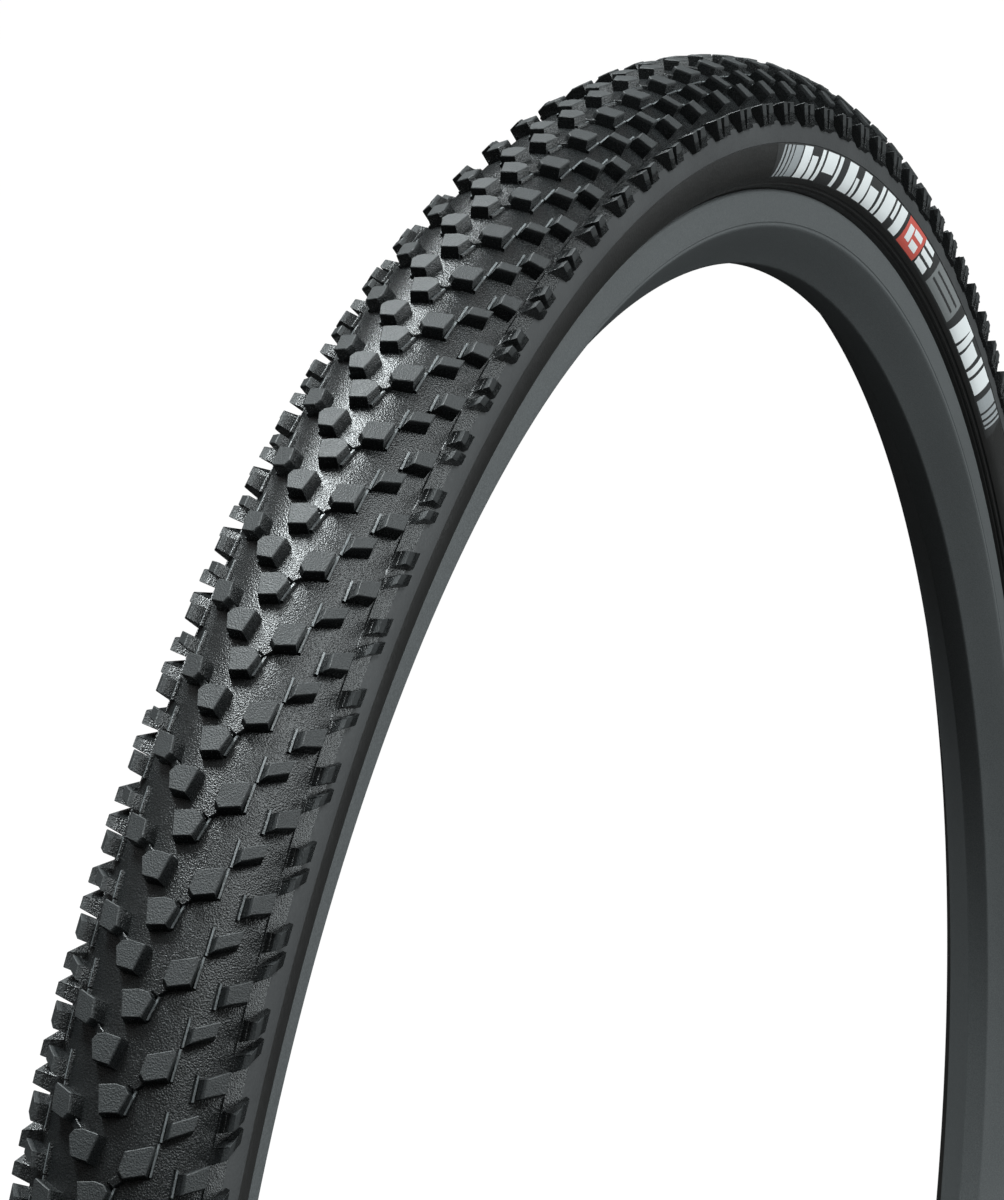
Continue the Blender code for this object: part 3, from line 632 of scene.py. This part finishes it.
def printed_ink(name, colour, roughness, wear):
    """One flat tone of ink, film, seal rubber or plastic, with faint wear in its grain."""
    surface, tree, shader = new_material(name)
    link = tree.links.new
    ink = group_in(
        tree, MOULDED_RUBBER, (-4, 0),
        Colour=(*colour, 1), Bloom_Colour=(*[c * wear for c in colour], 1), Bloom=0.5,
        Grain_Size=2400.0, Roughness=roughness,
    )
    link(ink.outputs["Colour"], shader.inputs["Base Color"])
    link(ink.outputs["Roughness"], shader.inputs["Roughness"])
    bumped(tree, shader, ink.outputs["Height"], 0.15, 0.00008)
    return surface


LABEL_INKS = [
    printed_ink("label_black", (0.018, 0.018, 0.018), 0.42, 1.8),
    printed_ink("label_silver", (0.36, 0.38, 0.39), 0.4, 0.8),
    printed_ink("label_white", (0.84, 0.86, 0.86), 0.4, 0.9),
    printed_ink("label_red", (0.62, 0.1, 0.075), 0.4, 0.85),
    printed_ink("label_grey", (0.2, 0.21, 0.21), 0.45, 0.8),
]
for side, sign in (("left", -1), ("right", 1)):
    mesh = bmesh.new()
    for bar in LABEL_BARS:
        ink_patch(mesh, sign, bar, STRIP_PROUD if bar[-1] == BLACK else INK_PROUD)
    for bar in LABEL_INSETS:
        ink_patch(mesh, sign, bar, INSET_PROUD)
    bmesh.ops.recalc_face_normals(mesh, faces=mesh.faces)
    label = piece_from(mesh, f"label_print_{side}")
    for surface in LABEL_INKS:
        label.data.materials.append(surface)
    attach(label, "wheel")
    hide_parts(f"label_{side}")


# --- Rim -----------------------------------------------------------------------------------------
# The rim is a hollow aluminium extrusion rolled into a hoop and joined, bead-blasted and anodised
# dark grey. A fine step runs round each side where the flat band meets the sloping one.
def rim_mesh():
    """The bed, the hooked flange, the step below it, the sloping face and the flat inner bed."""
    half = [
        (0.0, 307.9), (5.0, 308.1), (6.4, 309.6), (7.4, 310.6), (11.4, 310.7),
        (11.5, 310.8), (11.5, 316.2), (11.65, 316.7), (12.0, 316.98), (12.5, 317.0), (12.9, 316.7),
        (13.15, 316.2), (13.2, 315.5),
        (13.2, 308.55), (13.05, 308.4), (12.98, 308.1), (13.05, 307.85),
        (12.9, 307.4), (12.5, 306.9), (9.6, 303.9), (6.6, 300.8), (4.1, 298.2),
        (3.8, 297.85), (3.5, 297.6), (3.0, 297.5), (0.0, 297.5),
    ]
    return turned_ring(half + [(-a, r) for a, r in half[::-1] if a > 0], closed=True)


def blasted_metal_group():
    """Bead-blasted and anodised metal: fine even sparkle, with slow changes of tone."""
    tree = bpy.data.node_groups.new("blasted_metal", "ShaderNodeTree")
    named_sockets(
        tree,
        [
            ("Colour", "NodeSocketColor", (0.1, 0.1, 0.1, 1)),
            ("Light Colour", "NodeSocketColor", (0.2, 0.2, 0.2, 1)),
            ("Grain Size", "NodeSocketFloat", 2500.0),
            ("Roughness", "NodeSocketFloat", 0.45),
        ],
        [
            ("Colour", "NodeSocketColor"),
            ("Roughness", "NodeSocketFloat"),
            ("Height", "NodeSocketFloat"),
        ],
    )
    link = tree.links.new
    given = node(tree, "NodeGroupInput", (0, 0))
    where = node(tree, "ShaderNodeTexCoord", (0, 2))
    grain = node(tree, "ShaderNodeTexNoise", (1, 1), Detail=2.0, Roughness=0.7)
    slow = node(tree, "ShaderNodeTexNoise", (1, 2), Scale=9.0, Detail=3.0)
    link(where.outputs["Object"], grain.inputs["Vector"])
    link(where.outputs["Object"], slow.inputs["Vector"])
    link(given.outputs["Grain Size"], grain.inputs["Scale"])
    mixed = node(tree, "ShaderNodeMath", (2, 1), operation="MULTIPLY_ADD")
    mixed.inputs[1].default_value = 0.35
    link(slow.outputs["Fac"], mixed.inputs[0])
    link(grain.outputs["Fac"], mixed.inputs[2])
    share = node(tree, "ShaderNodeMapRange", (3, 1))
    share.inputs["From Min"].default_value = 0.4
    share.inputs["From Max"].default_value = 0.95
    link(mixed.outputs[0], share.inputs["Value"])
    colours = given.outputs["Colour"], given.outputs["Light Colour"]
    colour = mixed_colour(tree, (4, 0), share.outputs["Result"], *colours)
    rough = node(tree, "ShaderNodeMath", (4, 2), operation="MULTIPLY_ADD")
    rough.inputs[1].default_value = 0.12
    link(grain.outputs["Fac"], rough.inputs[0])
    link(given.outputs["Roughness"], rough.inputs[2])
    out = node(tree, "NodeGroupOutput", (5, 0))
    link(colour, out.inputs["Colour"])
    link(rough.outputs[0], out.inputs["Roughness"])
    link(grain.outputs["Fac"], out.inputs["Height"])
    return tree


BLASTED_METAL = blasted_metal_group()


def metal_finish(name, dark, light, grain_size, roughness, metallic, bump):
    surface, tree, shader = new_material(name)
    link = tree.links.new
    finish = group_in(
        tree, BLASTED_METAL, (-4, 0),
        Colour=(*dark, 1), Light_Colour=(*light, 1), Grain_Size=grain_size, Roughness=roughness,
    )
    link(finish.outputs["Colour"], shader.inputs["Base Color"])
    link(finish.outputs["Roughness"], shader.inputs["Roughness"])
    shader.inputs["Metallic"].default_value = metallic
    bumped(tree, shader, finish.outputs["Height"], bump, 0.0001)
    return surface


RIM_DARK = (0.052, 0.056, 0.057)
RIM_LIGHT = (0.11, 0.117, 0.119)
rim = piece_from(rim_mesh(), "rim_hoop")
rim.data.materials.append(
    metal_finish("rim_anodising", RIM_DARK, RIM_LIGHT, 2600.0, 0.5, 0.2, 0.35)
)
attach(rim, "wheel")
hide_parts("rim")


# --- Cloth, cord and tape inside the tyre --------------------------------------------------------
# The casing is rubbered nylon laid on the bias. The beads are bundles of stiff fibre, each in a
# woven strip that takes the rim's rubbing, and a thin film seals the rim's well.
def woven_group():
    """Two sets of threads that cross, raised over the gaps between them."""
    tree = bpy.data.node_groups.new("woven_cloth", "ShaderNodeTree")
    named_sockets(
        tree,
        [
            ("Thread Colour", "NodeSocketColor", (0.2, 0.2, 0.2, 1)),
            ("Gap Colour", "NodeSocketColor", (0.05, 0.05, 0.05, 1)),
            ("Threads", "NodeSocketFloat", 900.0),
        ],
        [("Colour", "NodeSocketColor"), ("Height", "NodeSocketFloat")],
    )
    link = tree.links.new
    given = node(tree, "NodeGroupInput", (0, 0))
    where = node(tree, "ShaderNodeTexCoord", (0, 1))
    warp = node(tree, "ShaderNodeTexWave", (1, 0), bands_direction="DIAGONAL", Distortion=1.0)
    turned = node(tree, "ShaderNodeMapping", (1, 2))
    turned.inputs["Rotation"].default_value = (0.0, math.pi / 2, math.pi / 2)
    weft = node(tree, "ShaderNodeTexWave", (2, 2), bands_direction="DIAGONAL", Distortion=1.0)
    link(where.outputs["Object"], warp.inputs["Vector"])
    link(where.outputs["Object"], turned.inputs["Vector"])
    link(turned.outputs["Vector"], weft.inputs["Vector"])
    link(given.outputs["Threads"], warp.inputs["Scale"])
    link(given.outputs["Threads"], weft.inputs["Scale"])
    cross = node(tree, "ShaderNodeMath", (3, 1), operation="MAXIMUM")
    link(warp.outputs["Fac"], cross.inputs[0])
    link(weft.outputs["Fac"], cross.inputs[1])
    colours = given.outputs["Gap Colour"], given.outputs["Thread Colour"]
    colour = mixed_colour(tree, (4, 0), cross.outputs[0], *colours)
    out = node(tree, "NodeGroupOutput", (5, 0))
    link(colour, out.inputs["Colour"])
    link(cross.outputs[0], out.inputs["Height"])
    return tree


WOVEN = woven_group()


def cloth_finish(name, thread, gap, threads, roughness):
    surface, tree, shader = new_material(name)
    weave = group_in(
        tree, WOVEN, (-4, 0), Thread_Colour=(*thread, 1), Gap_Colour=(*gap, 1), Threads=threads
    )
    tree.links.new(weave.outputs["Colour"], shader.inputs["Base Color"])
    shader.inputs["Roughness"].default_value = roughness
    bumped(tree, shader, weave.outputs["Height"], 0.5, 0.0002)
    return surface


NYLON = cloth_finish("nylon_weave", (0.2, 0.18, 0.14), (0.03, 0.03, 0.03), 700.0, 0.75)
BELT = cloth_finish("belt_weave", (0.55, 0.32, 0.08), (0.12, 0.06, 0.02), 420.0, 0.7)
BEAD_FIBRE = cloth_finish("bead_fibre", (0.55, 0.44, 0.14), (0.2, 0.15, 0.05), 900.0, 0.5)
CHAFER = cloth_finish("chafer_weave", (0.12, 0.12, 0.11), (0.02, 0.02, 0.02), 800.0, 0.75)
TAPE_FILM = printed_ink("tape_film_looks", (0.05, 0.16, 0.42), 0.25, 1.3)
inner_finishes = {
    "casing_ply": NYLON,
    "puncture_belt": BELT,
    "bead_core_left": BEAD_FIBRE,
    "bead_core_right": BEAD_FIBRE,
    "chafer_left": CHAFER,
    "chafer_right": CHAFER,
    "rim_tape": TAPE_FILM,
}
for name, surface in inner_finishes.items():
    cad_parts[name].data.materials.clear()
    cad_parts[name].data.materials.append(surface)


# --- Valve ---------------------------------------------------------------------------------------
# The tubeless valve is a threaded brass tube, plated and sealed by a rubber cone inside the tyre and
# by a knurled ring outside. Its core has a thin pin with a knurled nut, under a slim moulded cap.
VALVE_STEPS = 60
VALVE_SHARP_DEGREES = 40


def valve_turned(name, profile, foot, flutes=0, flute_depth=0.0, fluted=()):
    """Turns (radius, height) points in mm round the valve's line, with ribs on the fluted rows."""
    mesh = bmesh.new()
    rows = []
    for index, (radius, height) in enumerate(profile):
        z = height * MM - foot
        if radius == 0:
            rows.append([mesh.verts.new((0.0, 0.0, z))])
            continue
        row = []
        for step in range(VALVE_STEPS):
            turn = TURN * step / VALVE_STEPS
            cut = 0.5 * flute_depth * (1 - math.cos(flutes * turn)) if index in fluted else 0.0
            reach = (radius - cut) * MM
            row.append(mesh.verts.new((reach * math.cos(turn), reach * math.sin(turn), z)))
        rows.append(row)
    pairs = list(zip(rows, rows[1:]))
    if profile[0][0] > 0:
        pairs.append((rows[-1], rows[0]))
    for lower, upper in pairs:
        for step in range(VALVE_STEPS):
            after = (step + 1) % VALVE_STEPS
            if len(lower) == 1:
                mesh.faces.new((lower[0], upper[after], upper[step]))
            elif len(upper) == 1:
                mesh.faces.new((lower[step], lower[after], upper[0]))
            else:
                mesh.faces.new((lower[step], lower[after], upper[after], upper[step]))
    bmesh.ops.recalc_face_normals(mesh, faces=mesh.faces)
    return piece_from(mesh, name, VALVE_SHARP_DEGREES)


def threaded(start, end, outer, depth, lead):
    """Profile points of a screw thread's crests and roots between two heights."""
    points = [(outer - depth, start)]
    height = start
    while height + lead < end:
        points += [(outer, height + 0.3 * lead), (outer, height + 0.5 * lead)]
        points.append((outer - depth, height + 0.9 * lead))
        height += lead
    points.append((outer - depth, end))
    return points


def valve_piece(piece, node_name, body, surface):
    piece.data.materials.append(surface)
    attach(piece, body)
    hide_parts(node_name)


def foot_of(node_name):
    """How far below the wheel's centre the CAD piece's lower end stands, in metres."""
    return -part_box(node_name)[0].z


def length_of(node_name):
    """How tall the CAD piece stands, in mm."""
    low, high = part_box(node_name)
    return (high.z - low.z) / MM


NICKEL_DARK = (0.55, 0.55, 0.53)
NICKEL_LIGHT = (0.72, 0.72, 0.7)
PLATED = metal_finish("nickel_plating", NICKEL_DARK, NICKEL_LIGHT, 1200.0, 0.22, 1.0, 0.05)
BLACK_DARK = (0.02, 0.02, 0.021)
BLACK_LIGHT = (0.045, 0.045, 0.047)
BLACK_METAL = metal_finish("black_anodising", BLACK_DARK, BLACK_LIGHT, 2200.0, 0.35, 0.7, 0.1)
SEAL_RUBBER = printed_ink("seal_rubber_looks", (0.02, 0.02, 0.02), 0.6, 1.8)
CAP_PLASTIC = printed_ink("cap_plastic_looks", (0.02, 0.02, 0.021), 0.35, 1.6)

stem_length = length_of("valve_stem")
stem_profile = [(1.3, 0.0), (4.2, 0.0), (4.4, 0.3), (4.4, 1.2), (4.2, 1.4), (3.0, 1.4)]
stem_profile += threaded(6.0, stem_length - 0.4, 3.0, 0.22, 0.8)
core_seat = stem_length - 14
stem_profile += [(2.7, stem_length), (2.2, stem_length), (2.2, core_seat), (1.3, core_seat)]
stem = valve_turned("stem_thread", stem_profile, foot_of("valve_stem"))
valve_piece(stem, "valve_stem", "wheel", PLATED)

seal_profile = [
    (3.3, 0.0), (4.0, 0.0), (4.3, 0.15), (4.95, 1.6), (5.0, 2.0), (4.7, 2.45), (4.2, 2.6), (3.3, 2.6),
]
base_seal = valve_turned("base_seal_cone", seal_profile, foot_of("valve_base_seal"))
valve_piece(base_seal, "valve_base_seal", "wheel", SEAL_RUBBER)

ROUND_STEPS = 12
SEAL_MIDDLE = 3.95
SEAL_HALF_WIDTH = 0.65
SEAL_HALF_HEIGHT = 0.75
round_profile = []
for step in range(ROUND_STEPS):
    turn = TURN * step / ROUND_STEPS
    reach = SEAL_MIDDLE - SEAL_HALF_WIDTH * math.cos(turn)
    round_profile.append((reach, SEAL_HALF_HEIGHT * (1 + math.sin(turn))))
ring_seal = valve_turned("lock_ring_rubber", round_profile, foot_of("lock_ring_seal"))
valve_piece(ring_seal, "lock_ring_seal", "ring_seat", SEAL_RUBBER)

ring_profile = [
    (3.3, 0.2), (3.5, 0.0), (5.5, 0.0), (5.95, 0.35), (6.0, 0.5), (6.0, 2.5), (5.95, 2.7),
    (5.4, 3.1), (4.9, 3.9), (4.7, 4.0), (3.5, 4.0), (3.3, 3.8),
]
ring_foot = foot_of("valve_lock_ring")
lock_ring = valve_turned("lock_ring_knurl", ring_profile, ring_foot, 20, 0.35, (3, 4, 5, 6))
valve_piece(lock_ring, "valve_lock_ring", "lock_ring", BLACK_METAL)

core_length = length_of("valve_core")
core_profile = [(0.9, 0.0), (1.6, 0.0), (1.9, 0.3)]
core_profile += threaded(2.0, core_length - 2.2, 1.9, 0.15, 0.6)
core_profile += [(1.9, core_length - 1.35), (2.5, core_length - 1.3), (2.7, core_length - 1.1)]
core_profile += [(2.7, core_length - 0.3), (2.3, core_length), (0.9, core_length)]
core = valve_turned("core_sleeve", core_profile, foot_of("valve_core"))
valve_piece(core, "valve_core", "wheel", PLATED)

pin_length = length_of("valve_pin")
pin_profile = [(0.0, 0.0), (0.55, 0.0)] + threaded(0.6, pin_length - 0.5, 0.6, 0.08, 0.5)
pin_profile += [(0.45, pin_length), (0.0, pin_length)]
pin = valve_turned("pin_thread", pin_profile, foot_of("valve_pin"))
valve_piece(pin, "valve_pin", "pin", PLATED)

foot_profile = [(0.9, 0.0), (1.7, 0.0), (1.88, 0.15), (1.88, 0.5), (1.3, 0.98), (0.9, 1.0)]
pin_seal = valve_turned("pin_foot_seal", foot_profile, foot_of("valve_core_seal"))
valve_piece(pin_seal, "valve_core_seal", "pin", SEAL_RUBBER)

nut_profile = [
    (0.9, 0.0), (1.6, 0.0), (1.88, 0.25), (1.9, 0.4), (1.9, 2.0), (1.8, 2.2), (1.3, 2.6), (0.9, 2.6),
]
pin_nut = valve_turned("pin_nut_knurl", nut_profile, foot_of("valve_pin_nut"), 15, 0.16, (3, 4))
valve_piece(pin_nut, "valve_pin_nut", "pin_nut", PLATED)

cap_length = length_of("valve_cap")
cap_profile = [
    (0.0, cap_length - 0.8), (3.1, cap_length - 0.8), (3.3, cap_length - 1.8), (3.3, 0.0),
    (3.95, 0.0), (4.05, 0.3), (4.05, 4.0), (3.9, 4.4), (3.9, cap_length - 5.0), (3.7, cap_length - 3.0),
    (3.0, cap_length - 0.9), (2.2, cap_length - 0.1), (0.0, cap_length),
]
cap = valve_turned("cap_shell", cap_profile, foot_of("valve_cap"), 20, 0.2, (5, 6))
valve_piece(cap, "valve_cap", "cap", CAP_PLASTIC)


# --- Studio --------------------------------------------------------------------------------------
# A pale sweep of paper, a white surround and large soft lamps, with the camera close to the front of
# the tyre. The paper and the surround show white, but give back little light, so rubber stays black.
SWEEP_FRONT = -6.0
SWEEP_BACK = 3.0
SWEEP_BEND = 1.5
SWEEP_TOP = 6.0
SWEEP_HALF_WIDTH = 9.0
BEND_STEPS = 12


def paper_sweep():
    mesh = bmesh.new()
    profile = [(SWEEP_FRONT, 0.0), (SWEEP_BACK, 0.0)]
    for step in range(1, BEND_STEPS + 1):
        angle = math.radians(90 * step / BEND_STEPS)
        reach = SWEEP_BACK + SWEEP_BEND * math.sin(angle)
        profile.append((reach, SWEEP_BEND * (1 - math.cos(angle))))
    profile.append((SWEEP_BACK + SWEEP_BEND, SWEEP_TOP))
    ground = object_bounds()[0][2]
    rows = []
    for along, up in profile:
        ends = (-SWEEP_HALF_WIDTH, SWEEP_HALF_WIDTH)
        rows.append([mesh.verts.new((along, across, up + ground)) for across in ends])
    for lower, upper in zip(rows, rows[1:]):
        mesh.faces.new((lower[0], upper[0], upper[1], lower[1]))
    return piece_from(mesh, "paper_sweep", 60)


def paper_finish():
    """Dark to every ray but the camera's, which sees it glow an even white."""
    surface, tree, shader = new_material("white_paper")
    fibres = node(tree, "ShaderNodeTexNoise", (-4, 0), Scale=60.0, Detail=3.0)
    tone = node(tree, "ShaderNodeMapRange", (-3, 0))
    tone.inputs["To Min"].default_value = 0.02
    tone.inputs["To Max"].default_value = 0.03
    tree.links.new(fibres.outputs["Fac"], tone.inputs["Value"])
    tree.links.new(tone.outputs["Result"], shader.inputs["Base Color"])
    shader.inputs["Roughness"].default_value = 0.9
    seen = node(tree, "ShaderNodeLightPath", (-3, 1))
    tree.links.new(seen.outputs["Is Camera Ray"], shader.inputs["Emission Color"])
    shader.inputs["Emission Strength"].default_value = 1.0
    return surface


sweep = paper_sweep()
sweep.data.materials.append(paper_finish())
sweep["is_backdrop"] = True


def studio_world():
    """Soft light from above that falls away downwards, in front of a white surround."""
    world = bpy.data.worlds.new("studio")
    world.use_nodes = True
    tree = world.node_tree
    tree.nodes.clear()
    link = tree.links.new
    where = node(tree, "ShaderNodeTexCoord", (0, 0))
    split = node(tree, "ShaderNodeSeparateXYZ", (1, 0))
    fall = node(tree, "ShaderNodeMapRange", (2, 0), interpolation_type="SMOOTHSTEP")
    fall.inputs["From Min"].default_value = -0.1
    fall.inputs["From Max"].default_value = 0.95
    fall.inputs["To Min"].default_value = 0.01
    fall.inputs["To Max"].default_value = 0.4
    seen = node(tree, "ShaderNodeLightPath", (2, 1))
    strength = node(tree, "ShaderNodeMath", (3, 0), operation="MAXIMUM")
    light = node(tree, "ShaderNodeBackground", (4, 0), Color=(1.0, 1.0, 1.0, 1.0))
    out = node(tree, "ShaderNodeOutputWorld", (5, 0))
    link(where.outputs["Generated"], split.inputs[0])
    link(split.outputs["Z"], fall.inputs["Value"])
    link(fall.outputs["Result"], strength.inputs[0])
    link(seen.outputs["Is Camera Ray"], strength.inputs[1])
    link(strength.outputs[0], light.inputs["Strength"])
    link(light.outputs[0], out.inputs["Surface"])
    return world


bpy.context.scene.world = studio_world()


DAYLIGHT = (0.92, 0.985, 1.0)


def soft_lamp(name, place, target, size, power):
    data = bpy.data.lights.new(name, "AREA")
    data.shape = "RECTANGLE"
    data.size, data.size_y = size
    data.energy = power
    data.color = DAYLIGHT
    lamp = bpy.data.objects.new(name, data)
    lamp.location = place
    aim = Vector(target) - Vector(place)
    lamp.rotation_euler = aim.to_track_quat("-Z", "Y").to_euler()
    bpy.context.scene.collection.objects.link(lamp)


soft_lamp("overhead", (-0.5, 0.4, 1.55), (-0.25, 0.0, 0.25), (1.0, 0.3), 50.0)
soft_lamp("near_arch", (-0.6, -1.05, 1.2), (-0.25, 0.0, 0.15), (1.3, 0.4), 18.0)
soft_lamp("near_side", (0.9, -1.7, 0.7), (0.0, 0.0, 0.2), (0.9, 0.9), 16.0)
soft_lamp("near_low", (0.6, -1.9, -0.1), (0.1, 0.0, 0.25), (0.9, 0.5), 7.0)

camera_data = bpy.data.cameras.new("camera")
camera_data.sensor_width = 36.0
camera_data.sensor_fit = "AUTO"
camera_data.lens = 92.943
camera_data.clip_start = 0.01
camera = bpy.data.objects.new("camera", camera_data)
place = Vector((-0.811178, -0.276188, 0.203891))
right = Vector((0.394966, -0.915850, 0.072254))
down = Vector((0.026342, -0.067326, -0.997383))
ahead = Vector((0.918318, 0.395836, -0.002466))
rotation = Matrix((right, -down, -ahead)).transposed().to_4x4()
camera.matrix_world = Matrix.Translation(place) @ rotation
bpy.context.scene.collection.objects.link(camera)
bpy.context.scene.camera = camera
bpy.context.scene.view_settings.view_transform = "Standard"
